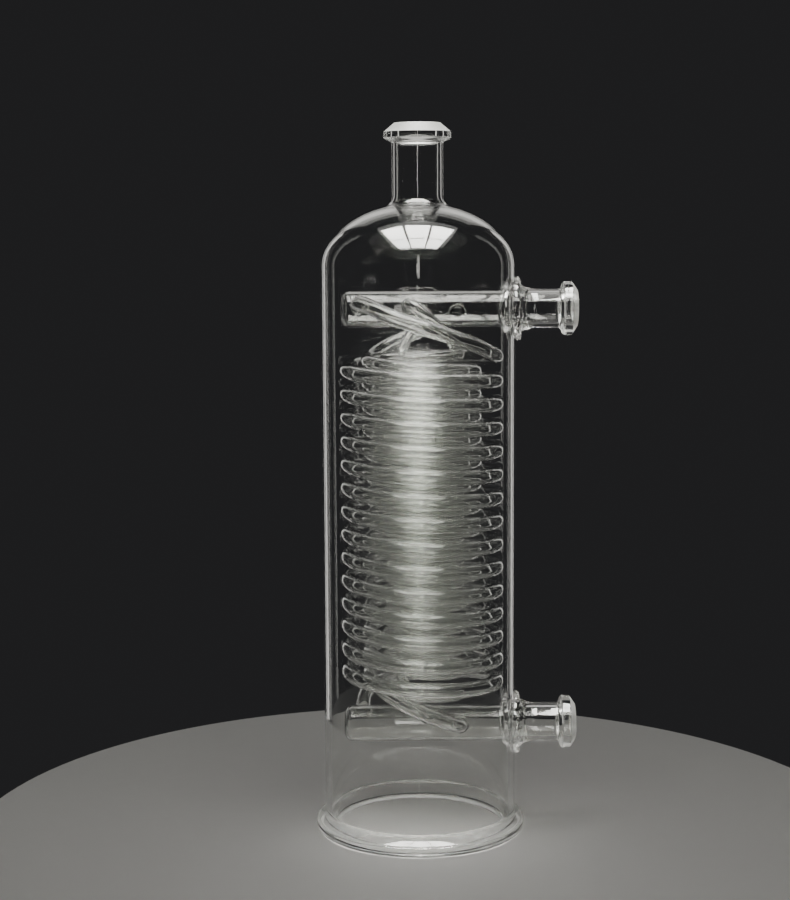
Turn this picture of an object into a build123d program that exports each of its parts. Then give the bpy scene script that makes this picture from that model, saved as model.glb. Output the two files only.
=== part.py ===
from build123d import *

import os
from math import atan2, ceil, cos, pi, radians, sin, sqrt, tan

# Coil condenser in borosilicate glass: a domed jacket, open at the foot, with four nested coils between two
# headers. The frame is the jacket's own, in millimetres. Z is its axis and Z = 0 is the ground face of the
# foot flange, so the condenser stands on its foot. Both coolant nozzles point along +X. Every piece is a length
# of glass that is shaped first and then sealed to its neighbours in the flame, so they meet face to face.

OVERALL_HEIGHT = 550.0

# Jacket: the straight tube and the dome that closes it
JACKET_OD = 150.0
JACKET_WALL = 5.0
DOME_RISE = 49.0  # half-height of the dome's ellipse, outside

# Neck and its conical ground flange
NECK_OD = 40.0
NECK_WALL = 4.0
NECK_FILLET_R = 8.0  # outside fillet between the dome and the neck
NECK_STUB = 8.0  # neck that belongs to the dome, above the ellipse's crown
NECK_LENGTH = 36.0  # plain neck between the stub and the flange
NECK_RIM = 6.0  # flange's rim beyond the neck
NECK_FLANGE_HEIGHT = 15.0
NECK_RIM_HEIGHT = 4.5
NECK_CONE_HEIGHT = 7.0
NECK_FACE_WIDTH = 1.8  # flat ring between the bore and the cone

# Foot flange
FOOT_RIM = 7.0  # rim beyond the jacket
FOOT_HEIGHT = 15.0
FOOT_LIP = 4.0  # how far its bore stands inside the jacket's bore
FOOT_LIP_HEIGHT = 10.0
FOOT_RIM_HEIGHT = 8.0
FOOT_EDGE_R = 3.0

# Headers: closed tubes that feed the coils
HEADER_DOME_GAP = 13.0  # hole of the upper ring seal to the dome
HEADER_FOOT_GAP = 48.0  # hole of the lower ring seal to the foot flange
HEADER_OD = 28.0
HEADER_WALL = 2.0
HEADER_END_GAP = 11.0  # closed end to the jacket's far wall
HEADER_END_R = 6.0  # rounding of the closed end

# Ring seals: where a header goes through the jacket's wall
SEAL_WIDTH = 6.0  # fused glass between the header and the hole in the wall
SEAL_INSET = 4.0  # how far it stands into the jacket
SEAL_BEAD = 5.0  # bead beyond the hole's edge, over the outside of the wall
SEAL_REACH = 5.0  # end of the seal beyond the jacket's outside
SEAL_NECK = 3.0  # glass round the nozzle's foot beyond its own radius

# Nozzles and their conical ground flanges
NOZZLE_WALL = 3.5  # heavier tube than the header's
NOZZLE_STEP = 0.5  # how far its bore stands inside the header's
NOZZLE_FLARE_LENGTH = 12.0
NOZZLE_LENGTH = 47.5  # end face from the jacket's outside
NOZZLE_RIM = 5.5  # flange's rim beyond the nozzle
NOZZLE_FLANGE_LENGTH = 14.0
NOZZLE_RIM_LENGTH = 6.5
NOZZLE_CONE_LENGTH = 4.5
NOZZLE_FACE_WIDTH = 2.5

# Coils, from the outside in. gap is the clear space to the wall or coil outside it. The first turn starts at
# +X (start 1) or -X (start -1). first_gap and last_gap run from a header's wall to the middle of the coil's
# nearest end. A branch stands on the front (-1, towards -Y) or the back (1) of its header, tilted up by some
# degrees, at branch_share of the coil's radius along X. Its lead turns the corner to the coil at corner_out
# beyond that radius.
COIL_SHIFT_X = 2.5  # the coils' common axis from the jacket's axis
COILS = {
    "outer_coil": dict(
        gap=3.9, tube_od=12.0, wall=1.8, pitch=18.1, start=1, first_gap=23.0, last_gap=21.5,
        stub=6.0, corner_out=0.0, upper=(-1, 13.0), lower=(1, 33.0),
    ),
    "second_coil": dict(
        gap=4.6, tube_od=11.0, wall=1.6, pitch=17.6, start=-1, first_gap=25.0, last_gap=27.0,
        branch_share=0.687, stub=5.0, corner_out=0.0, upper=(1, -14.0), lower=(-1, 8.0),
    ),
    "third_coil": dict(
        gap=2.3, tube_od=9.0, wall=1.4, pitch=17.8, start=1, first_gap=21.4, last_gap=10.0,
        branch_share=-0.325, stub=3.5, corner_out=1.3, upper=(-1, 13.0), lower=(1, 33.0),
    ),
    "inner_coil": dict(
        gap=2.7, tube_od=8.0, wall=1.3, pitch=17.6, start=-1, first_gap=25.0, last_gap=27.0,
        branch_share=0.139, stub=3.0, corner_out=7.0, upper=(1, -14.0), lower=(-1, 35.0),
    ),
}
BRANCH_FOOT = 1.6  # swelling of a branch where it is sealed to its header
BRANCH_FOOT_HEIGHT = 2.0
BRANCH_END_CLEARANCE = 0.4  # outer coil's branches from the rounding of the closed end
LEAD_STEP = radians(40)  # largest turn between two corners of a lead
INNER_RUN_SHARE = 0.45  # share of a run that one corner's arc takes
END_RUN_SHARE = 0.9  # the same for a lead's first and last run

JACKET_R = JACKET_OD / 2
JACKET_BORE_R = JACKET_R - JACKET_WALL
NECK_R = NECK_OD / 2
NECK_BORE_R = NECK_R - NECK_WALL
NECK_FLANGE_R = NECK_R + NECK_RIM
NECK_FLANGE_Z = OVERALL_HEIGHT - NECK_FLANGE_HEIGHT
NECK_BASE_Z = NECK_FLANGE_Z - NECK_LENGTH
DOME_BASE_Z = NECK_BASE_Z - NECK_STUB - DOME_RISE
FOOT_R = JACKET_R + FOOT_RIM
HEADER_R = HEADER_OD / 2
HEADER_BORE_R = HEADER_R - HEADER_WALL
HEADER_END_X = HEADER_END_GAP - JACKET_BORE_R
HOLE_R = HEADER_R + SEAL_WIDTH
UPPER_HEADER_Z = DOME_BASE_Z - HEADER_DOME_GAP - HOLE_R
LOWER_HEADER_Z = FOOT_HEIGHT + HEADER_FOOT_GAP + HOLE_R
SEAL_END_X = JACKET_R + SEAL_REACH
NOZZLE_BORE_R = HEADER_BORE_R - NOZZLE_STEP
NOZZLE_R = NOZZLE_BORE_R + NOZZLE_WALL
NOZZLE_FLANGE_R = NOZZLE_R + NOZZLE_RIM
NOZZLE_REACH = JACKET_R + NOZZLE_LENGTH
HEADER_Z = {"upper": UPPER_HEADER_Z, "lower": LOWER_HEADER_Z}
FROM_BASE = (Align.CENTER, Align.CENTER, Align.MIN)
SAME_PLACE = 0.01  # heights closer than this are one

# Each coil fits inside the last, and the outer one fits the jacket on the side that the coils are shifted to.
# The outer coil is fed as near the closed end of each header as its branches' feet allow.
edge = JACKET_BORE_R - COIL_SHIFT_X
for coil in COILS.values():
    coil["radius"] = edge - coil["gap"] - coil["tube_od"] / 2
    edge = coil["radius"] - coil["tube_od"] / 2
    coil["branch_x"] = COIL_SHIFT_X + coil["radius"] * coil.get("branch_share", 0)
OUTER_FOOT_R = COILS["outer_coil"]["tube_od"] / 2 + BRANCH_FOOT
COILS["outer_coil"]["branch_x"] = HEADER_END_X + HEADER_END_R + OUTER_FOOT_R + BRANCH_END_CLEARANCE


def turned(*outline):
    """A solid turned about Z from a closed outline of (radius, height) edges."""
    return revolve(Plane.XZ * make_face(Wire(list(outline)).edges()), Axis.Z)


def path_of(*points):
    """Straight edges from point to point."""
    return [Line(start, end) for start, end in zip(points, points[1:])]


def rod(radius, base, height):
    """An upright cylinder."""
    return Pos(0, 0, base) * Cylinder(radius, height, align=FROM_BASE)


def pipe(radius, bore_r, base, height):
    """An upright length of tube."""
    return rod(radius, base, height) - rod(bore_r, base, height)


def towards_x(shape, height):
    """Turns a shape made along +Z to lie along +X at a height."""
    return Pos(0, 0, height) * Rot(0, 90, 0) * shape


def jacket_tube():
    """The long straight wall, with a round hole for each ring seal."""
    wall = pipe(JACKET_R, JACKET_BORE_R, FOOT_HEIGHT, DOME_BASE_Z - FOOT_HEIGHT)
    for height in HEADER_Z.values():
        wall -= towards_x(rod(HOLE_R, 0, JACKET_OD), height)
    return wall


def dome_body(radius, rise, neck_r, fillet_r):
    """Half an ellipsoid with a neck that rises out of it through a fillet."""
    quarter = EllipticalCenterArc((0, DOME_BASE_Z), radius, rise, start_angle=0, arc_size=90)
    crown = (0, DOME_BASE_Z + rise)
    body = turned(quarter, *path_of(crown, (0, DOME_BASE_Z), (radius, DOME_BASE_Z)))
    body += rod(neck_r, DOME_BASE_Z, NECK_BASE_Z - DOME_BASE_Z)
    root_z = DOME_BASE_Z + rise * sqrt(1 - (neck_r / radius) ** 2)
    level = body.edges().filter_by(lambda edge: edge.bounding_box().size.Z < SAME_PLACE)
    return fillet(level.filter_by(lambda edge: abs((edge @ 0).Z - root_z) < SAME_PLACE), fillet_r)


def dome():
    """The blown end of the jacket, up to the start of the plain neck."""
    outside = dome_body(JACKET_R, DOME_RISE, NECK_R, NECK_FILLET_R)
    inside = dome_body(JACKET_BORE_R, DOME_RISE - JACKET_WALL, NECK_BORE_R, NECK_FILLET_R + NECK_WALL)
    return outside - inside


def neck_tube():
    """The plain neck between the dome and its flange."""
    return pipe(NECK_R, NECK_BORE_R, NECK_BASE_Z, NECK_FLANGE_Z - NECK_BASE_Z)


def cone_flange(bore_r, tube_r, rim_r, face_width, length, rim_length, cone_length):
    """A tube end, standing on Z = 0, that swells to a rim and closes in a ground cone to a narrow flat face."""
    rim_base = length - cone_length - rim_length
    swell = TangentArc((tube_r, 0), (rim_r, rim_base), tangent=(0, 1))
    rest = path_of(
        (rim_r, rim_base),
        (rim_r, length - cone_length),
        (bore_r + face_width, length),
        (bore_r, length),
        (bore_r, 0),
        (tube_r, 0),
    )
    return turned(swell, *rest)


def neck_flange():
    """The ground cone flange on the neck."""
    flange = cone_flange(
        NECK_BORE_R,
        NECK_R,
        NECK_FLANGE_R,
        NECK_FACE_WIDTH,
        NECK_FLANGE_HEIGHT,
        NECK_RIM_HEIGHT,
        NECK_CONE_HEIGHT,
    )
    return Pos(0, 0, NECK_FLANGE_Z) * flange


def foot_flange():
    """The heavy flange at the foot, with a ground face, a round rim, a hollow shoulder and a lip in its bore."""
    lip_r = JACKET_BORE_R - FOOT_LIP
    shoulder = TangentArc((JACKET_R, FOOT_HEIGHT), (FOOT_R, FOOT_RIM_HEIGHT), tangent=(0, -1))
    rest = path_of(
        (FOOT_R, FOOT_RIM_HEIGHT),
        (FOOT_R, 0),
        (lip_r, 0),
        (lip_r, FOOT_LIP_HEIGHT),
        (JACKET_BORE_R, FOOT_HEIGHT),
        (JACKET_R, FOOT_HEIGHT),
    )
    solid = turned(shoulder, *rest)
    lowest = solid.edges().filter_by(GeomType.CIRCLE).group_by(Axis.Z)[0]
    return fillet(lowest.filter_by(lambda e: e.radius > JACKET_R), FOOT_EDGE_R)


def header_body(radius, end_x, end_r):
    """The outside or the bore of a header along +Z, from its round closed end to the nozzle's foot."""
    end_face = Line((0, end_x), (radius - end_r, end_x))
    corner = TangentArc((radius - end_r, end_x), (radius, end_x + end_r), tangent=(1, 0))
    rest = path_of((radius, end_x + end_r), (radius, SEAL_END_X), (0, SEAL_END_X), (0, end_x))
    return turned(end_face, corner, *rest)


def header_outside(place):
    """The solid outside of a header, where it lies."""
    return towards_x(header_body(HEADER_R, HEADER_END_X, HEADER_END_R), HEADER_Z[place])


def header(place):
    """A header, with a hole in its wall under each branch."""
    bore = header_body(HEADER_BORE_R, HEADER_END_X + HEADER_WALL, HEADER_END_R - HEADER_WALL)
    tube = header_outside(place) - towards_x(bore, HEADER_Z[place])
    for coil in COILS.values():
        drill = rod(coil["tube_od"] / 2 - coil["wall"], 0, HEADER_OD)
        tube -= branch_plane(coil, place).location * drill
    return tube


def ring_seal(place):
    """Fused glass that fills the hole round a header, with a bead over the outside of the wall."""
    inner_x = JACKET_BORE_R - SEAL_INSET
    neck_r = NOZZLE_R + SEAL_NECK
    bead_r = HOLE_R + SEAL_BEAD
    crest = TangentArc((bead_r, JACKET_R), (neck_r, SEAL_END_X), tangent=(0, 1))
    rest = path_of(
        (neck_r, SEAL_END_X),
        (HEADER_R, SEAL_END_X),
        (HEADER_R, inner_x),
        (HOLE_R, inner_x + SEAL_INSET),
        (bead_r, inner_x + SEAL_INSET),
        (bead_r, JACKET_R),
    )
    ring = Rot(0, 90, 0) * turned(crest, *rest)
    wall = rod(JACKET_R, -JACKET_R, JACKET_OD) - Rot(0, 90, 0) * rod(HOLE_R, 0, JACKET_OD)
    return Pos(0, 0, HEADER_Z[place]) * (ring - wall)


def nozzle(place):
    """The tube from a ring seal to its flange, flared where it joins the seal."""
    neck_r = NOZZLE_R + SEAL_NECK
    flare_end = SEAL_END_X + NOZZLE_FLARE_LENGTH
    end = NOZZLE_REACH - NOZZLE_FLANGE_LENGTH
    flare = TangentArc((NOZZLE_R, flare_end), (neck_r, SEAL_END_X), tangent=(0, -1))
    rest = path_of(
        (neck_r, SEAL_END_X),
        (NOZZLE_BORE_R, SEAL_END_X),
        (NOZZLE_BORE_R, end),
        (NOZZLE_R, end),
        (NOZZLE_R, flare_end),
    )
    return towards_x(turned(flare, *rest), HEADER_Z[place])


def nozzle_flange(place):
    """The ground cone flange at a nozzle's end."""
    flange = cone_flange(
        NOZZLE_BORE_R,
        NOZZLE_R,
        NOZZLE_FLANGE_R,
        NOZZLE_FACE_WIDTH,
        NOZZLE_FLANGE_LENGTH,
        NOZZLE_RIM_LENGTH,
        NOZZLE_CONE_LENGTH,
    )
    return towards_x(Pos(0, 0, NOZZLE_REACH - NOZZLE_FLANGE_LENGTH) * flange, HEADER_Z[place])


def ring_section(coil, place, facing):
    """The ring-shaped section of a coil's tube, square to its path."""
    tube_r = coil["tube_od"] / 2
    return Plane(origin=place, z_dir=facing) * (Circle(tube_r) - Circle(tube_r - coil["wall"]))


def coil_path(coil):
    """The helix of a coil, in whole turns. Seen from above it turns counterclockwise on its way down."""
    bottom = LOWER_HEADER_Z + HEADER_R + coil["last_gap"]
    height = UPPER_HEADER_Z - HEADER_R - coil["first_gap"] - bottom
    turns = round(height / coil["pitch"])
    helix = Helix(pitch=height / turns, height=height, radius=coil["radius"], lefthand=True)
    return Pos(COIL_SHIFT_X, 0, bottom) * Rot(0, 0, 0 if coil["start"] > 0 else 180) * helix


def coil_tube(coil):
    """The wound tube of a coil."""
    path = coil_path(coil)
    return sweep(ring_section(coil, path @ 0, path % 0), path=path, is_frenet=True)


def branch_plane(coil, place):
    """A plane on a header's axis whose normal is the direction of a branch."""
    side, tilt = coil[place]
    facing = (0, side * cos(radians(tilt)), sin(radians(tilt)))
    return Plane(origin=(coil["branch_x"], 0, HEADER_Z[place]), x_dir=(1, 0, 0), z_dir=facing)


def branch(coil, place):
    """A stub drawn from the header's wall, with a swollen foot that is cut to the header's outside."""
    tube_r = coil["tube_od"] / 2
    foot_r = tube_r + BRANCH_FOOT
    foot_top = HEADER_R + BRANCH_FOOT_HEIGHT
    end = HEADER_R + coil["stub"]
    swelling = TangentArc((tube_r, foot_top), (foot_r, HEADER_R), tangent=(0, -1))
    rest = path_of(
        (foot_r, HEADER_R),
        (foot_r, HEADER_R / 2),
        (tube_r - coil["wall"], HEADER_R / 2),
        (tube_r - coil["wall"], end),
        (tube_r, end),
        (tube_r, foot_top),
    )
    stub = branch_plane(coil, place).location * turned(swelling, *rest)
    return stub - header_outside(place)


def lead_corners(coil, place):
    """Corner points of a lead, from the coil's end round with the coil and out to its branch's end."""
    helix = coil_path(coil)
    joint = helix @ 1 if place == "upper" else helix @ 0
    away = helix % 1 if place == "upper" else -(helix % 0)
    plane = branch_plane(coil, place)
    side = coil[place][0]
    out = plane.origin + plane.z_dir * (HEADER_R + coil["stub"])

    across = coil["branch_x"] - COIL_SHIFT_X
    last_y = side * sqrt((coil["radius"] + coil["corner_out"]) ** 2 - across**2)
    last = plane.origin + plane.z_dir * (last_y / plane.z_dir.Y)

    # The upper leads climb clockwise, seen from above, and the lower ones descend counterclockwise.
    turning = -1 if place == "upper" else 1
    start_angle = 0 if coil["start"] > 0 else pi
    swing = (turning * (atan2(last_y, across) - start_angle)) % (2 * pi)
    corners = ceil(swing / LEAD_STEP + 0.5)
    step = swing / (corners - 0.5)
    first = joint + away * (coil["radius"] * tan(step / 2) / sqrt(away.X**2 + away.Y**2))
    points = [joint, first]
    for index in range(1, corners - 1):
        angle = start_angle + turning * step * (index + 0.5)
        reach = coil["radius"] / cos(step / 2)
        height = first.Z + (last.Z - first.Z) * index / (corners - 1)
        points.append(Vector(COIL_SHIFT_X + reach * cos(angle), reach * sin(angle), height))
    return points + [last, out]


def corner_radii(points):
    """The largest arc that the runs on each side of a corner allow."""
    runs = [(end - start) for start, end in zip(points, points[1:])]
    shares = [END_RUN_SHARE] + [INNER_RUN_SHARE] * (len(runs) - 2) + [END_RUN_SHARE]
    room = [run.length * share for run, share in zip(runs, shares)]
    bends = [radians(before.get_angle(after)) for before, after in zip(runs, runs[1:])]
    return [min(room[i], room[i + 1]) / tan(bend / 2) for i, bend in enumerate(bends)]


def lead(coil, place):
    """A bent tube from the coil's end to its branch: straight runs joined by tangent arcs."""
    points = lead_corners(coil, place)
    path = FilletPolyline(*points, radius=corner_radii(points))
    return sweep(ring_section(coil, path @ 0, path % 0), path=path)


PIECES = {
    "jacket_tube": jacket_tube,
    "dome": dome,
    "neck_tube": neck_tube,
    "neck_flange": neck_flange,
    "foot_flange": foot_flange,
}
for place in HEADER_Z:
    PIECES[f"{place}_header"] = lambda place=place: header(place)
    PIECES[f"{place}_ring_seal"] = lambda place=place: ring_seal(place)
    PIECES[f"{place}_nozzle"] = lambda place=place: nozzle(place)
    PIECES[f"{place}_nozzle_flange"] = lambda place=place: nozzle_flange(place)
for name, coil in COILS.items():
    PIECES[name] = lambda coil=coil: coil_tube(coil)
    for place in HEADER_Z:
        PIECES[f"{name}_{place}_branch"] = lambda coil=coil, place=place: branch(coil, place)
        PIECES[f"{name}_{place}_lead"] = lambda coil=coil, place=place: lead(coil, place)

os.makedirs("parts", exist_ok=True)
for node, make in PIECES.items():
    export_step(make(), f"parts/{node}.step")
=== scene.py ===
from math import atan2, ceil, cos, pi, radians, sin, sqrt, tan

import bpy
from mathutils import Matrix, Vector


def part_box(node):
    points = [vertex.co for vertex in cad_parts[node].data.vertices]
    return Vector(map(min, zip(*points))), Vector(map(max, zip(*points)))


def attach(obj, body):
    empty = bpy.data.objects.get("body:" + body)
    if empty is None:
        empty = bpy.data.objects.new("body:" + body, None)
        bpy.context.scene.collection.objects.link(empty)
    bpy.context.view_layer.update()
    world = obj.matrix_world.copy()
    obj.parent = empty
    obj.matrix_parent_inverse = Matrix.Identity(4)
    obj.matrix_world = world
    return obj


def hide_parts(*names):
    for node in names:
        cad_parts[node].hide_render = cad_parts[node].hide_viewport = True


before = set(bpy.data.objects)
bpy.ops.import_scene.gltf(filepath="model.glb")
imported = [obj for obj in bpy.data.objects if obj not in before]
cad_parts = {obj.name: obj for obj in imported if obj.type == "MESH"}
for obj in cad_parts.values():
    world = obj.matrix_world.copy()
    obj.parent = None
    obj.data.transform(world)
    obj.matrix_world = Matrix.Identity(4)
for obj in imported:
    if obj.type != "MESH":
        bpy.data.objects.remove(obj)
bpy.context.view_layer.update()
MM = 0.001
bpy.ops.object.select_all(action="DESELECT")

# ---- Camera ----
# It stands a good way in front of the condenser, a little above its middle, and looks slightly down through a
# long lens, with a hint of roll.
CAMERA_PLACE = Vector((-18.3, -1399.0, 470.0)) * MM
CAMERA_PITCH = radians(6.94)
CAMERA_ROLL = radians(0.33)
CAMERA_LENS = 72.6
SENSOR_HEIGHT = 36
bpy.ops.object.camera_add(location=CAMERA_PLACE)
camera = bpy.context.object
aim = Matrix.Rotation(pi / 2 - CAMERA_PITCH, 4, "X") @ Matrix.Rotation(-CAMERA_ROLL, 4, "Z")
camera.matrix_world = Matrix.Translation(CAMERA_PLACE) @ aim
camera.data.sensor_fit = "VERTICAL"
camera.data.sensor_height = SENSOR_HEIGHT
camera.data.lens = CAMERA_LENS
bpy.context.scene.camera = camera

# ---- Floor and air round the condenser ----
# A round bench top with pale matt paint stands a hair below the foot, so that the two don't touch. The air
# beyond is dim and neutral, because the edges of clear glass show against the dark.
FLOOR_R = 0.36
FLOOR_THICKNESS = 0.02
FLOOR_EDGE = 0.004
FLOOR_DROP = 0.0004
bpy.ops.mesh.primitive_cylinder_add(
    vertices=128, radius=FLOOR_R, depth=FLOOR_THICKNESS, location=(0, 0, -FLOOR_THICKNESS / 2 - FLOOR_DROP)
)
floor = bpy.context.object
floor.name = "bench_top"
bevel = floor.modifiers.new("edge", "BEVEL")
bevel.width = FLOOR_EDGE
bevel.segments = 4
bevel.limit_method = "ANGLE"
bpy.ops.object.modifier_apply(modifier="edge")
bpy.ops.object.shade_smooth_by_angle(angle=radians(30))


def material(name):
    """A new node material, with its tree and its Principled shader."""
    made = bpy.data.materials.new(name)
    made.use_nodes = True
    return made, made.node_tree, made.node_tree.nodes["Principled BSDF"]


def noise(tree, scale, detail=3.0):
    """Noise on Object coordinates."""
    where = tree.nodes.new("ShaderNodeTexCoord")
    grain = tree.nodes.new("ShaderNodeTexNoise")
    grain.inputs["Scale"].default_value = scale
    grain.inputs["Detail"].default_value = detail
    tree.links.new(where.outputs["Object"], grain.inputs["Vector"])
    return grain.outputs["Fac"]


def spread(tree, source, low, high):
    """A source between 0 and 1 spread between two values."""
    scale = tree.nodes.new("ShaderNodeMapRange")
    scale.inputs["To Min"].default_value = low
    scale.inputs["To Max"].default_value = high
    tree.links.new(source, scale.inputs["Value"])
    return scale.outputs["Result"]


def bumps(tree, shader, source, strength, depth):
    """Raises a shader's surface by a source."""
    bump = tree.nodes.new("ShaderNodeBump")
    bump.inputs["Strength"].default_value = strength
    bump.inputs["Distance"].default_value = depth
    tree.links.new(source, bump.inputs["Height"])
    tree.links.new(bump.outputs["Normal"], shader.inputs["Normal"])


bench_paint, tree, shader = material("bench_paint")
shader.inputs["Base Color"].default_value = (0.62, 0.62, 0.61, 1)
tree.links.new(spread(tree, noise(tree, 60), 0.5, 0.7), shader.inputs["Roughness"])
floor.data.materials.append(bench_paint)

world = bpy.data.worlds.new("dim_air")
world.use_nodes = True
world.node_tree.nodes["Background"].inputs["Color"].default_value = (0.017, 0.017, 0.018, 1)
bpy.context.scene.world = world

# ---- Lights ----
# The dome and the coils mirror a wide window of panes overhead. A soft strip behind each side draws the edges
# of the walls, one in front adds a thin upright line, and a dim box behind gives the shoulders a haze. The
# bench top is left out of all of these and has a soft light of its own.
PANES_ACROSS = 3
PANES_DEEP = 2
PANE_WIDTH = 0.44
PANE_DEPTH = 0.8
PANE_GAP = 0.05
WINDOW_HEIGHT = 2.0
WINDOW_Y = -0.55
WINDOW_POWER = 58
HAZE_POWER = 5
FRONT_POWER = 1.8
STRIP_POWER = 0.9
BENCH_POWER = 9
DAYLIGHT = (1.0, 0.985, 0.94)
glass_light = bpy.data.collections.new("glass_light")
glass_light.objects.link(floor)
glass_light.collection_objects[0].light_linking.link_state = "EXCLUDE"


def soft_box(name, place, target, width, height, power):
    """A rectangular soft light that faces a point."""
    bpy.ops.object.light_add(type="AREA", location=place)
    light = bpy.context.object
    light.name = name
    light.data.shape = "RECTANGLE"
    light.data.size = width
    light.data.size_y = height
    light.data.energy = power
    light.data.color = DAYLIGHT
    light.rotation_euler = (Vector(target) - Vector(place)).to_track_quat("-Z", "Y").to_euler()
    light.light_linking.receiver_collection = glass_light
    return light


for column in range(PANES_ACROSS):
    for row in range(PANES_DEEP):
        x = (column - (PANES_ACROSS - 1) / 2) * (PANE_WIDTH + PANE_GAP)
        y = WINDOW_Y + (row - (PANES_DEEP - 1) / 2) * (PANE_DEPTH + PANE_GAP)
        place = (x, y, WINDOW_HEIGHT)
        soft_box(f"window_pane_{column}_{row}", place, (x, y, 0), PANE_WIDTH, PANE_DEPTH, WINDOW_POWER)
for side in (-1, 1):
    place = (side * 0.72, 1.2, 0.2)
    soft_box(f"edge_strip_{side + 1}", place, (0, 0, 0.2), width=0.14, height=1.8, power=STRIP_POWER)
soft_box("front_strip", (0, -2.2, 1.0), (0, 0, 0.4), width=0.1, height=1.3, power=FRONT_POWER)
soft_box("haze_box", (0, 1.9, 1.75), (0, 0, 0.4), width=2.0, height=1.1, power=HAZE_POWER)
bench_light = soft_box("bench_light", (0, -0.2, 1.6), (0, 0, 0), width=1.2, height=1.2, power=BENCH_POWER)
bench_light.light_linking.receiver_collection = None

# ---- Jacket tube ----
# The long wall is drawn borosilicate tube, heavy for its width. It is open at both ends until the dome and
# the foot flange are sealed on, and a round hole is blown in it for each ring seal.
WALL = 5.0 * MM
TURN_STEPS = 160
SEAM = 1  # material slot of the faces that are fused to a neighbour
GROUND = 2  # material slot of ground faces
WAVE_DEPTH = 0.00012

clear_glass, tree, shader = material("clear_glass")
shader.inputs["Base Color"].default_value = (0.985, 0.99, 0.98, 1)
shader.inputs["Transmission Weight"].default_value = 1.0
shader.inputs["IOR"].default_value = 1.474
tree.links.new(spread(tree, noise(tree, 25), 0.0, 0.006), shader.inputs["Roughness"])
bumps(tree, shader, noise(tree, 38, 2.0), 0.25, WAVE_DEPTH)

fused_seam = bpy.data.materials.new("fused_seam")
fused_seam.use_nodes = True
fused_seam.node_tree.nodes.clear()
clear = fused_seam.node_tree.nodes.new("ShaderNodeBsdfTransparent")
surface = fused_seam.node_tree.nodes.new("ShaderNodeOutputMaterial")
fused_seam.node_tree.links.new(clear.outputs["BSDF"], surface.inputs["Surface"])

ground_glass, tree, shader = material("ground_glass")
shader.inputs["Base Color"].default_value = (0.6, 0.61, 0.59, 1)
shader.inputs["Transmission Weight"].default_value = 0.86
shader.inputs["IOR"].default_value = 1.474
tree.links.new(spread(tree, noise(tree, 900, 6.0), 0.35, 0.6), shader.inputs["Roughness"])
bumps(tree, shader, noise(tree, 2200, 4.0), 0.5, 0.00008)


def arc(centre, radius, start, end, steps=9):
    """Points of a round stretch of an outline, from one angle to another in degrees."""
    angles = [radians(start + (end - start) * i / steps) for i in range(steps + 1)]
    return [(centre[0] + radius * cos(a), centre[1] + radius * sin(a)) for a in angles]


def edit_all():
    """Edit mode with everything selected."""
    bpy.ops.object.mode_set(mode="EDIT")
    bpy.ops.mesh.select_all(action="SELECT")


def turned(name, outline):
    """A piece turned on the lathe about Z from a closed outline of (radius, height) points."""
    bpy.ops.object.select_all(action="DESELECT")
    bpy.ops.mesh.primitive_plane_add(size=MM)
    piece = bpy.context.object
    piece.name = name
    edit_all()
    bpy.ops.mesh.merge(type="CENTER")
    bpy.ops.transform.translate(value=(outline[0][0], 0, outline[0][1]))
    for before, after in zip(outline, outline[1:]):
        step = (after[0] - before[0], 0, after[1] - before[1])
        bpy.ops.mesh.extrude_region_move(TRANSFORM_OT_translate={"value": step})
    bpy.ops.object.mode_set(mode="OBJECT")
    ends = (0, len(outline) - 1)
    if outline[0][0] > 0 or outline[-1][0] > 0:
        for vertex in piece.data.vertices:
            vertex.select = vertex.index in ends
        bpy.ops.object.mode_set(mode="EDIT")
        bpy.ops.mesh.edge_face_add()
        bpy.ops.object.mode_set(mode="OBJECT")
    lathe = piece.modifiers.new("lathe", "SCREW")
    lathe.steps = TURN_STEPS
    lathe.render_steps = TURN_STEPS
    lathe.use_merge_vertices = True
    lathe.merge_threshold = 1e-6
    bpy.ops.object.modifier_apply(modifier="lathe")
    edit_all()
    bpy.ops.mesh.remove_doubles(threshold=1e-6)
    bpy.ops.mesh.normals_make_consistent(inside=False)
    bpy.ops.object.mode_set(mode="OBJECT")
    for finish in (clear_glass, fused_seam, ground_glass):
        piece.data.materials.append(finish)
    return piece


def mark(piece, slot, chosen):
    """Gives a material slot to the faces that a test chooses by centre and normal."""
    for face in piece.data.polygons:
        if chosen(face.center, face.normal):
            face.material_index = slot


def level(height):
    """A test for the flat faces at a height."""
    return lambda centre, normal: abs(centre.z - height) < 0.05 * MM and abs(normal.z) > 0.99


def settle(piece, place=None):
    """Puts a finished piece where it belongs, in its mesh, and rides it on the frame."""
    bpy.ops.object.select_all(action="DESELECT")
    piece.select_set(True)
    bpy.context.view_layer.objects.active = piece
    if place is not None:
        piece.matrix_world = place
        bpy.ops.object.transform_apply(location=True, rotation=True, scale=True)
    bpy.ops.object.shade_smooth_by_angle(angle=radians(32))
    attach(piece, "root")


def rows(start, end, count):
    """Heights from start to end, so that a long wall has faces of a fair shape."""
    return [start + (end - start) * i / count for i in range(count + 1)]


low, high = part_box("jacket_tube")
jacket_r = high.x
bore_r = jacket_r - WALL
jacket_base = low.z
jacket_top = high.z
JACKET_ROWS = 60
outside = [(jacket_r, z) for z in rows(jacket_base, jacket_top, JACKET_ROWS)]
inside = [(bore_r, z) for z in rows(jacket_top, jacket_base, JACKET_ROWS)]
jacket = turned("jacket_wall", outside + inside)

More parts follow.
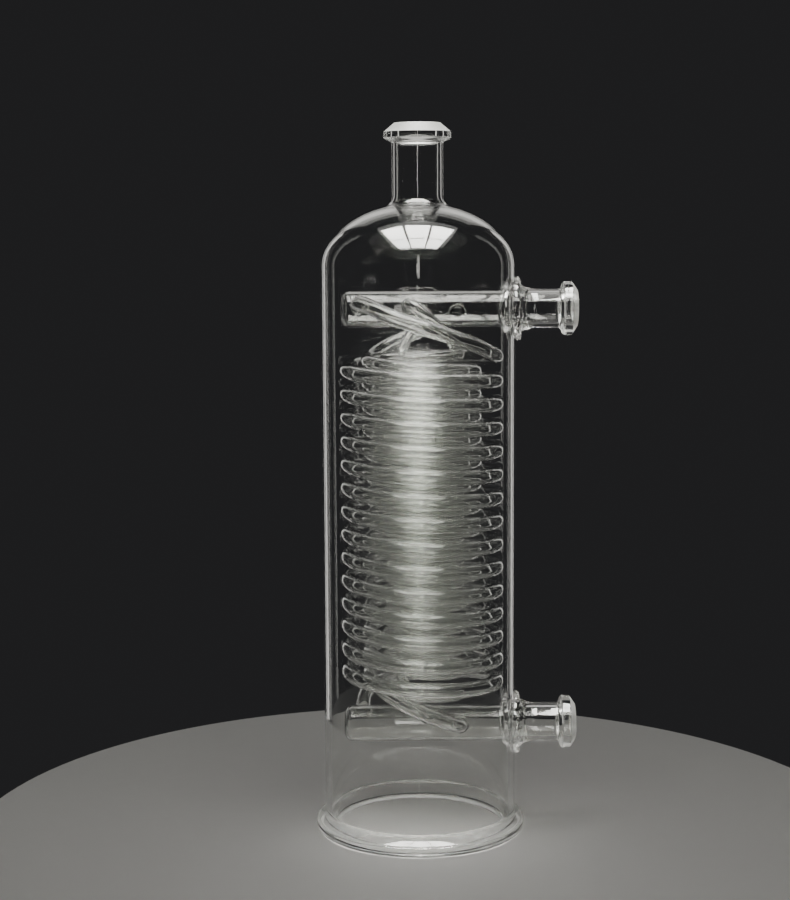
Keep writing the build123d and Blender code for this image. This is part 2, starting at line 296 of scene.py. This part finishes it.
header_box = {place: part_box(f"{place}_header") for place in ("upper", "lower")}
header_r = (header_box["upper"][1].z - header_box["upper"][0].z) / 2
header_z = {place: (box[0].z + box[1].z) / 2 for place, box in header_box.items()}
SEAL_WIDTH = 6.0 * MM
DRILL_LENGTH = 2 * WALL + 8 * MM
hole_r = header_r + SEAL_WIDTH
for place, height in header_z.items():
    bpy.ops.object.select_all(action="DESELECT")
    bpy.ops.mesh.primitive_cylinder_add(
        vertices=96, radius=hole_r, depth=DRILL_LENGTH, location=(bore_r, 0, height), rotation=(0, pi / 2, 0)
    )
    drill = bpy.context.object
    cut = jacket.modifiers.new("hole", "BOOLEAN")
    cut.object = drill
    cut.solver = "EXACT"
    bpy.context.view_layer.objects.active = jacket
    bpy.ops.object.modifier_apply(modifier="hole")
    bpy.data.objects.remove(drill)


def in_hole(centre, normal):
    """Faces of the wall round a ring seal's hole."""
    offsets = [sqrt(centre.y**2 + (centre.z - height) ** 2) for height in header_z.values()]
    return centre.x > 0 and min(abs(offset - hole_r) for offset in offsets) < 0.3 * MM and abs(normal.x) < 0.5


mark(jacket, SEAM, level(jacket_base))
mark(jacket, SEAM, level(jacket_top))
mark(jacket, SEAM, in_hole)
settle(jacket)
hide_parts("jacket_tube")

# ---- Dome ----
# The closed end of the jacket is blown to half an ellipsoid, and its middle is drawn up into the root of the
# neck. Its wall is as thick as the tube's, and it is sealed to it all round.
low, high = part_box("dome")
DOME_RISE = 49.0 * MM
SHELL_BEND = 8.0 * MM
LINING_BEND = 12.0 * MM
RISE_STEPS = 28
HALVINGS = 60
neck_r = 20.0 * MM
neck_bore_r = 16.0 * MM
neck_base = high.z


def ellipse_to_neck(radius, rise, throat_r, bend_r):
    """Points up an ellipse, round a bend and on to the neck."""
    def normal(t):
        n = Vector((cos(t) / radius, sin(t) / rise))
        return n.normalized()

    first, last = 0.0, pi / 2
    for _ in range(HALVINGS):
        middle = (first + last) / 2
        centre_r = radius * cos(middle) + bend_r * normal(middle).x
        if centre_r > throat_r + bend_r:
            first = middle
        else:
            last = middle
    touch = (first + last) / 2
    facing = normal(touch)
    centre = (throat_r + bend_r, jacket_top + rise * sin(touch) + bend_r * facing.y)
    turns = [touch * i / RISE_STEPS for i in range(RISE_STEPS + 1)]
    climb = [(radius * cos(turn), jacket_top + rise * sin(turn)) for turn in turns]
    start = 180 + atan2(facing.y, facing.x) * 180 / pi
    return climb + arc(centre, bend_r, start, 180)[1:] + [(throat_r, neck_base)]


shell = ellipse_to_neck(jacket_r, DOME_RISE, neck_r, SHELL_BEND)
lining = ellipse_to_neck(bore_r, DOME_RISE - WALL, neck_bore_r, LINING_BEND)
dome = turned("blown_dome", shell + lining[::-1])
mark(dome, SEAM, level(jacket_top))
mark(dome, SEAM, level(neck_base))
settle(dome)
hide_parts("dome")

# ---- Neck tube ----
# A short plain length of borosilicate tube carries the vapour out of the dome. It is sealed to the root of
# the neck below and to the neck flange above.
low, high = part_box("neck_tube")
NECK_ROWS = 6
neck_top = high.z
outside = [(neck_r, z) for z in rows(neck_base, neck_top, NECK_ROWS)]
inside = [(neck_bore_r, z) for z in rows(neck_top, neck_base, NECK_ROWS)]
neck = turned("neck", outside + inside)
mark(neck, SEAM, level(neck_base))
mark(neck, SEAM, level(neck_top))
settle(neck)
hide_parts("neck_tube")

# ---- Neck flange ----
# The tube's end is upset in the flame to a thick rim, and its cone and narrow face are ground to take a
# clamped joint. The ground cone is frosted, and the rim and its underside stay bright.
FLAME_EDGE = 0.7 * MM
UNDERSIDE_STEPS = 8
CONE_STEPS = 5


def cone_flange(name, bore, tube, rim, length, rim_length, cone_length, face_width):
    """A cone flange that stands on height 0, with its edges a little rounded by the flame."""
    rim_base = length - cone_length - rim_length
    climbs = [t / UNDERSIDE_STEPS for t in range(UNDERSIDE_STEPS + 1)]
    outline = [(tube + (rim - FLAME_EDGE - tube) * (1 - cos(pi * t)) / 2, rim_base * t) for t in climbs]
    outline += arc((rim - FLAME_EDGE, rim_base + FLAME_EDGE), FLAME_EDGE, -90, 0, 4)[1:]
    cone_foot = Vector((rim - 0.3 * FLAME_EDGE, length - cone_length + 0.3 * FLAME_EDGE))
    cone_tip = Vector((bore + face_width, length))
    outline += [(rim, length - cone_length - FLAME_EDGE)]
    outline += [tuple(cone_foot.lerp(cone_tip, t / CONE_STEPS)) for t in range(CONE_STEPS + 1)]
    outline += [(bore + FLAME_EDGE / 2, length), (bore, length - FLAME_EDGE / 2)]
    outline += [(bore, length / 2), (bore, 0)]
    flange = turned(name, outline)
    mark(flange, SEAM, level(0))
    cone_base = length - cone_length + 0.2 * FLAME_EDGE

    def ground(centre, normal):
        return centre.z > cone_base and normal.z > 0.3 and sqrt(centre.x**2 + centre.y**2) > bore

    mark(flange, GROUND, ground)
    return flange


low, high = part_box("neck_flange")
neck_flange = cone_flange(
    "neck_cone_flange",
    bore=neck_bore_r,
    tube=neck_r,
    rim=high.x,
    length=high.z - low.z,
    rim_length=4.5 * MM,
    cone_length=7.0 * MM,
    face_width=1.8 * MM,
)
settle(neck_flange, Matrix.Translation((0, 0, low.z)))
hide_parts("neck_flange")

# ---- Foot flange ----
# A heavy ring is sealed to the open end of the jacket. Its rim is round, its shoulder is hollow, a lip stands
# in the bore, and only the face below is ground.
low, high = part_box("foot_flange")
foot_r = 82.0 * MM
foot_top = high.z
lip_r = 66.0 * MM
LIP_TOP = 10.0 * MM
LIP_SLOPE_TOP = 14.2 * MM
LIP_ROUND = 1.2 * MM
RIM_TOP = 8.0 * MM
LOWER_ROUND = 3.0 * MM
UPPER_ROUND = LOWER_ROUND / 2
SHOULDER_STEPS = 8
hollow_reach = foot_r - UPPER_ROUND - jacket_r
hollow_drop = foot_top - RIM_TOP
falls = [t / SHOULDER_STEPS for t in range(SHOULDER_STEPS + 1)]
shoulder = [(jacket_r + hollow_reach * t**1.8, foot_top - hollow_drop * t**0.9) for t in falls]
upper_edge = arc((foot_r - UPPER_ROUND, RIM_TOP - UPPER_ROUND), UPPER_ROUND, 90, 0, 6)
lower_edge = arc((foot_r - LOWER_ROUND, LOWER_ROUND), LOWER_ROUND, 0, -90, 8)
mouth = arc((lip_r + LIP_ROUND, LIP_ROUND), LIP_ROUND, -90, -180, 5)
throat = [
    (lip_r, LIP_TOP),
    (lip_r + LIP_ROUND, LIP_TOP + 2.0 * MM),
    (bore_r - 0.8 * MM, LIP_SLOPE_TOP),
    (bore_r, foot_top),
]
foot = turned("foot_ring", shoulder + upper_edge + lower_edge + mouth + throat)
mark(foot, SEAM, level(foot_top))
mark(foot, GROUND, lambda centre, normal: centre.z < 0.1 * MM and normal.z < -0.99)
settle(foot)
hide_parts("foot_flange")

# ---- Headers ----
# Each coolant header is a tube across the jacket. Its far end is closed and rounded in the flame, and small
# holes blown in its wall feed the branches.
HEADER_WALL = 2.0 * MM
END_ROUND = 6.0 * MM
HEADER_ROWS = 40
SEAL_DEPTH = 4.0 * MM  # how far a ring seal reaches into the bell
header_bore_r = header_r - HEADER_WALL
header_end = header_box["upper"][0].x
seal_end = header_box["upper"][1].x
seal_inner = bore_r - SEAL_DEPTH
COIL_SHIFT = 2.5 * MM
# Millimetres and degrees. Each end has its side of the header (-1 front, 1 back) and its branch's tilt.
COILS = {
    "outer_coil": dict(tube=6, wall=1.8, pitch=18.1, stub=6, corner=0, upper=(-1, 13), lower=(1, 33)),
    "second_coil": dict(tube=5.5, wall=1.6, pitch=17.6, stub=5, corner=0, upper=(1, -14), lower=(-1, 8)),
    "third_coil": dict(tube=4.5, wall=1.4, pitch=17.8, stub=3.5, corner=1.3, upper=(-1, 13), lower=(1, 33)),
    "inner_coil": dict(tube=4, wall=1.3, pitch=17.6, stub=3, corner=7, upper=(1, -14), lower=(-1, 35)),
}
STARTS_RIGHT = ("outer_coil", "third_coil")
ALONG_X = Matrix.Rotation(pi / 2, 4, "Y")

for name, coil in COILS.items():
    coil_low, coil_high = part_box(name)
    coil["tube_r"] = coil["tube"] * MM
    coil["bore_r"] = coil["tube_r"] - coil["wall"] * MM
    coil["radius"] = (coil_high.x - coil_low.x) / 2 - coil["tube_r"]
    lean = coil["tube_r"] * cos(coil["pitch"] * MM / (2 * pi * coil["radius"]))
    coil["low_z"] = coil_low.z + lean
    coil["high_z"] = coil_high.z - lean
    coil["start"] = 0.0 if name in STARTS_RIGHT else pi
    branch_low, branch_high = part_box(f"{name}_upper_branch")
    coil["branch_x"] = (branch_low.x + branch_high.x) / 2


def branch_place(coil, place):
    """Where a branch stands: its foot on a header's axis and its own Z along the branch."""
    side, tilt = coil[place]
    along = Vector((0, side * cos(radians(tilt)), sin(radians(tilt))))
    across = Vector((1, 0, 0))
    turn = Matrix((across, along.cross(across), along)).transposed().to_4x4()
    return Matrix.Translation((coil["branch_x"], 0, header_z[place])) @ turn


def end_line(radius, end, bend):
    """Outline of a header's closed end, from its axis out to its side."""
    return [(0, end)] + arc((radius - bend, end + bend), bend, -90, 0)


def in_seal(centre, normal):
    """Faces of a header's outside, along its own axis, that a ring seal is run on to."""
    return centre.z > seal_inner and sqrt(centre.x**2 + centre.y**2) > header_r - 0.5 * MM


for place in header_z:
    straight = rows(header_end + END_ROUND, seal_end, HEADER_ROWS)[1:]
    skin = end_line(header_r, header_end, END_ROUND) + [(header_r, x) for x in straight]
    core = end_line(header_bore_r, header_end + HEADER_WALL, END_ROUND - HEADER_WALL)
    core += [(header_bore_r, x) for x in straight]
    header = turned(f"{place}_header_tube", skin + core[::-1])
    for coil in COILS.values():
        bpy.ops.object.select_all(action="DESELECT")
        bpy.ops.mesh.primitive_cylinder_add(vertices=40, radius=coil["bore_r"], depth=2 * header_r)
        drill = bpy.context.object
        into = Matrix.Translation((0, 0, -header_z[place])) @ branch_place(coil, place)
        drill.matrix_world = ALONG_X.inverted() @ into @ Matrix.Translation((0, 0, header_r))
        cut = header.modifiers.new("hole", "BOOLEAN")
        cut.object = drill
        cut.solver = "EXACT"
        bpy.context.view_layer.objects.active = header
        bpy.ops.object.modifier_apply(modifier="hole")
        bpy.data.objects.remove(drill)
    mark(header, SEAM, level(seal_end))
    mark(header, SEAM, in_seal)
    settle(header, Matrix.Translation((0, 0, header_z[place])) @ ALONG_X)
    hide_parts(f"{place}_header")

# ---- Ring seals ----
# Where a header goes through the wall, the glass of both is run together into an uneven bead, with folds left
# by the flame. It lies in the hole and laps over the outside of the jacket.
LUMP_SIZE = 4.5 * MM
LUMP_HEIGHT = 2.4 * MM
BEAD_LAP = 4.2 * MM
BEAD_ROUND = 2.2 * MM
SEAL_FOOT_WIDTH = 3.0 * MM
SKIN = 0.1 * MM  # how far the bead's flat underside stands off the wall
seal_lumps = bpy.data.textures.new("seal_lumps", "CLOUDS")
seal_lumps.noise_scale = LUMP_SIZE
seal_lumps.noise_depth = 2
nozzle_r = 15.0 * MM
seal_foot_r = nozzle_r + SEAL_FOOT_WIDTH
bead_r = hole_r + BEAD_LAP


def saddle(piece, barrel_r, top, fade):
    """Sinks a turned piece to fit a barrel of a radius that lies along its X, fading out towards its top."""
    for vertex in piece.data.vertices:
        drop = barrel_r - sqrt(max(barrel_r**2 - vertex.co.y**2, 0))
        share = min(max((top - vertex.co.z) / fade, 0), 1)
        vertex.co.z -= drop * share


def seal_outline():
    """Half section of a ring seal: from the header out to the wall, round the bead and in to the nozzle."""
    crest = jacket_r + BEAD_ROUND
    web = [
        (header_r, seal_inner),
        (header_r + 2.5 * MM, seal_inner + 0.6 * MM),
        (hole_r - 1.5 * MM, seal_inner + 2.6 * MM),
        (hole_r, seal_inner + 4.2 * MM),
        (hole_r, jacket_r + SKIN),
        (bead_r - 0.8 * MM, jacket_r + SKIN),
    ]
    bead = arc((bead_r - BEAD_ROUND, jacket_r + 1.4 * MM), BEAD_ROUND, -30, 120, 8)
    waist = [(seal_foot_r + 1.6 * MM, crest + 0.2 * MM), (seal_foot_r + 0.5 * MM, crest + 1.6 * MM)]
    return web + bead + waist + [(seal_foot_r, seal_end), (header_r, seal_end)]


for place, height in header_z.items():
    seal = turned(f"{place}_weld_ring", seal_outline())
    saddle(seal, jacket_r, seal_end, 4.0 * MM)
    loose = seal.vertex_groups.new(name="loose_glass")
    for vertex in seal.data.vertices:
        out = sqrt(vertex.co.x**2 + vertex.co.y**2)
        if out > header_r + 1 * MM and vertex.co.z < seal_end - 1 * MM:
            loose.add([vertex.index], min((out - header_r) / (4 * MM), 1), "REPLACE")
    lumps = seal.modifiers.new("lumps", "DISPLACE")
    lumps.texture = seal_lumps
    lumps.vertex_group = "loose_glass"
    lumps.strength = LUMP_HEIGHT
    lumps.mid_level = 0.5
    bpy.context.view_layer.objects.active = seal
    bpy.ops.object.modifier_apply(modifier="lumps")
    mark(seal, SEAM, level(seal_end))
    mark(seal, SEAM, lambda centre, normal: sqrt(centre.x**2 + centre.y**2) < header_r + 0.3 * MM)
    settle(seal, Matrix.Translation((0, 0, height)) @ ALONG_X)
    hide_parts(f"{place}_ring_seal")

# ---- Nozzles ----
# A short thick tube of borosilicate glass leads the coolant in or out. Its foot is flared where it was sealed
# on, outside the wall.
NOZZLE_WALL = 3.5 * MM
FLARE_LENGTH = 12 * MM
FLARE_STEPS = 14
nozzle_bore_r = nozzle_r - NOZZLE_WALL
for place, height in header_z.items():
    low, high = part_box(f"{place}_nozzle")
    outline = [
        (nozzle_r + SEAL_FOOT_WIDTH * (1 - t / FLARE_STEPS) ** 2.2, low.x + FLARE_LENGTH * t / FLARE_STEPS)
        for t in range(FLARE_STEPS + 1)
    ]
    outline += [(nozzle_r, high.x), (nozzle_bore_r, high.x), (nozzle_bore_r, low.x)]
    nozzle = turned(f"{place}_nozzle_tube", outline)
    mark(nozzle, SEAM, level(low.x))
    mark(nozzle, SEAM, level(high.x))
    settle(nozzle, Matrix.Translation((0, 0, height)) @ ALONG_X)
    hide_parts(f"{place}_nozzle")

# ---- Nozzle flanges ----
# The same kind of flange as on the neck, but smaller: a thick rim upset on the end of the nozzle, with a
# ground cone for the coolant's connection.
for place, height in header_z.items():
    low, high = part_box(f"{place}_nozzle_flange")
    flange = cone_flange(
        f"{place}_nozzle_cone",
        bore=nozzle_bore_r,
        tube=nozzle_r,
        rim=20.5 * MM,
        length=high.x - low.x,
        rim_length=6.5 * MM,
        cone_length=4.5 * MM,
        face_width=2.5 * MM,
    )
    settle(flange, Matrix.Translation((low.x, 0, height)) @ ALONG_X)
    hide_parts(f"{place}_nozzle_flange")

# ---- Coils ----
# Tube is wound hot on a mandrel, in even turns. Four coils stand one inside the other, and seen from above
# each turns counterclockwise on its way down.
TUBE_SIDES = 20
STEPS_A_TURN = 56


def walled(piece, thickness):
    """Gives an open tube its glass wall. The rims at its ends are fused to the next piece."""
    edit_all()
    bpy.ops.mesh.normals_make_consistent(inside=False)
    bpy.ops.object.mode_set(mode="OBJECT")
    for finish in (clear_glass, fused_seam):
        piece.data.materials.append(finish)
    wall = piece.modifiers.new("wall", "SOLIDIFY")
    wall.thickness = thickness
    wall.offset = -1
    wall.use_even_offset = True
    wall.material_offset_rim = SEAM
    bpy.ops.object.modifier_apply(modifier="wall")


for name, coil in COILS.items():
    bpy.ops.object.select_all(action="DESELECT")
    bpy.ops.mesh.primitive_circle_add(
        vertices=TUBE_SIDES, radius=coil["tube_r"], location=(coil["radius"], 0, 0), rotation=(pi / 2, 0, 0)
    )
    tube = bpy.context.object
    tube.name = f"{name}_winding"
    bpy.ops.object.transform_apply(location=True, rotation=True, scale=True)
    turns = round((coil["high_z"] - coil["low_z"]) / (coil["pitch"] * MM))
    winding = tube.modifiers.new("winding", "SCREW")
    winding.angle = -2 * pi
    winding.screw_offset = (coil["high_z"] - coil["low_z"]) / turns
    winding.iterations = turns
    winding.steps = STEPS_A_TURN
    winding.render_steps = STEPS_A_TURN
    bpy.ops.object.modifier_apply(modifier="winding")
    walled(tube, coil["wall"] * MM)
    coil["pitch_now"] = (coil["high_z"] - coil["low_z"]) / turns
    settle(tube, Matrix.Translation((COIL_SHIFT, 0, coil["low_z"])) @ Matrix.Rotation(coil["start"], 4, "Z"))
    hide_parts(name)

# ---- Leads ----
# The two ends of each coil are bent by hand to meet their branches: out of the first or last turn, round with
# the coil and in to the header.
LEAD_STEP = radians(40)
LEAD_SMOOTHNESS = 16


def lead_route(coil, place):
    """Corner points of a lead from the coil's end to its branch's end."""
    climb = 1 if place == "upper" else -1
    end_z = coil["high_z"] if place == "upper" else coil["low_z"]
    side = coil[place][0]
    stand = branch_place(coil, place)
    along = stand.col[2].to_3d()
    foot = stand.to_translation()
    out = foot + along * (header_r + coil["stub"] * MM)
    across = coil["branch_x"] - COIL_SHIFT
    corner_y = side * sqrt((coil["radius"] + coil["corner"] * MM) ** 2 - across**2)
    last = foot + along * (corner_y / along.y)
    swing = (-climb * (atan2(corner_y, across) - coil["start"])) % (2 * pi)
    corners = ceil(swing / LEAD_STEP + 0.5)
    step = swing / (corners - 0.5)
    slope = coil["pitch_now"] / (2 * pi * coil["radius"])
    reach = coil["radius"] / cos(step / 2)
    run = coil["radius"] * tan(step / 2)
    first_z = end_z + climb * slope * run
    points = [Vector((COIL_SHIFT + coil["radius"] * cos(coil["start"]), 0, end_z))]
    for index in range(corners - 1):
        angle = coil["start"] - climb * step * (index + 0.5)
        height = first_z + (last.z - first_z) * index / (corners - 1)
        points.append(Vector((COIL_SHIFT + reach * cos(angle), reach * sin(angle), height)))
    return points + [last, out]


for name, coil in COILS.items():
    for place in header_z:
        route = lead_route(coil, place)
        bpy.ops.object.select_all(action="DESELECT")
        bpy.ops.curve.primitive_nurbs_path_add()
        bend = bpy.context.object
        bend.name = f"{name}_{place}_bend"
        bend.data.splines.clear()
        line = bend.data.splines.new("NURBS")
        line.points.add(len(route) - 1)
        for point, spot in zip(line.points, route):
            point.co = (*spot, 1)
        line.order_u = 3
        line.use_endpoint_u = True
        line.resolution_u = LEAD_SMOOTHNESS
        bend.data.bevel_depth = coil["tube_r"]
        bend.data.bevel_resolution = TUBE_SIDES // 4 - 1
        bpy.ops.object.convert(target="MESH")
        bend = bpy.context.object
        walled(bend, coil["wall"] * MM)
        settle(bend)
        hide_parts(f"{name}_{place}_lead")

# ---- Branches ----
# A stub is drawn from each header round a hole in its wall, and its foot is left swollen and a little uneven
# by the flame.
BRANCH_FOOT = 1.6 * MM
SWELLING_HEIGHT = 2.2 * MM
SWELLING_STEPS = 6
STAND_OFF = 0.05 * MM  # keeps the stub's foot just clear of the header's skin
branch_lumps = bpy.data.textures.new("branch_lumps", "CLOUDS")
branch_lumps.noise_scale = 3.0 * MM
for name, coil in COILS.items():
    for place in header_z:
        tube_r = coil["tube_r"]
        foot_r = tube_r + BRANCH_FOOT
        base = header_r + STAND_OFF
        end = header_r + coil["stub"] * MM
        climbs = [t / SWELLING_STEPS for t in range(SWELLING_STEPS + 1)]
        outline = [(tube_r + BRANCH_FOOT * (1 - t) ** 2, base + SWELLING_HEIGHT * t) for t in climbs]
        outline += [(tube_r, end), (coil["bore_r"], end), (coil["bore_r"], base), (foot_r - 0.6 * MM, base)]
        stub = turned(f"{name}_{place}_stub", outline)
        saddle(stub, header_r, end, end - base)
        uneven = stub.modifiers.new("uneven", "DISPLACE")
        uneven.texture = branch_lumps
        uneven.strength = 0.5 * MM
        foot_glass = stub.vertex_groups.new(name="foot_glass")
        for vertex in stub.data.vertices:
            if sqrt(vertex.co.x**2 + vertex.co.y**2) > tube_r + 0.2 * MM:
                foot_glass.add([vertex.index], 1, "REPLACE")
        uneven.vertex_group = "foot_glass"
        bpy.context.view_layer.objects.active = stub
        bpy.ops.object.modifier_apply(modifier="uneven")
        mark(stub, SEAM, level(end))
        settle(stub, branch_place(coil, place))
        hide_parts(f"{name}_{place}_branch")

# ---- Light paths ----
# The walls and the nested coils put up to a few dozen glass surfaces between front and back, so light is
# followed through that many before it is given up.
cycles = bpy.context.scene.cycles
GLASS_SURFACES = 48
cycles.max_bounces = GLASS_SURFACES
cycles.transmission_bounces = GLASS_SURFACES
cycles.transparent_max_bounces = GLASS_SURFACES
cycles.glossy_bounces = 12
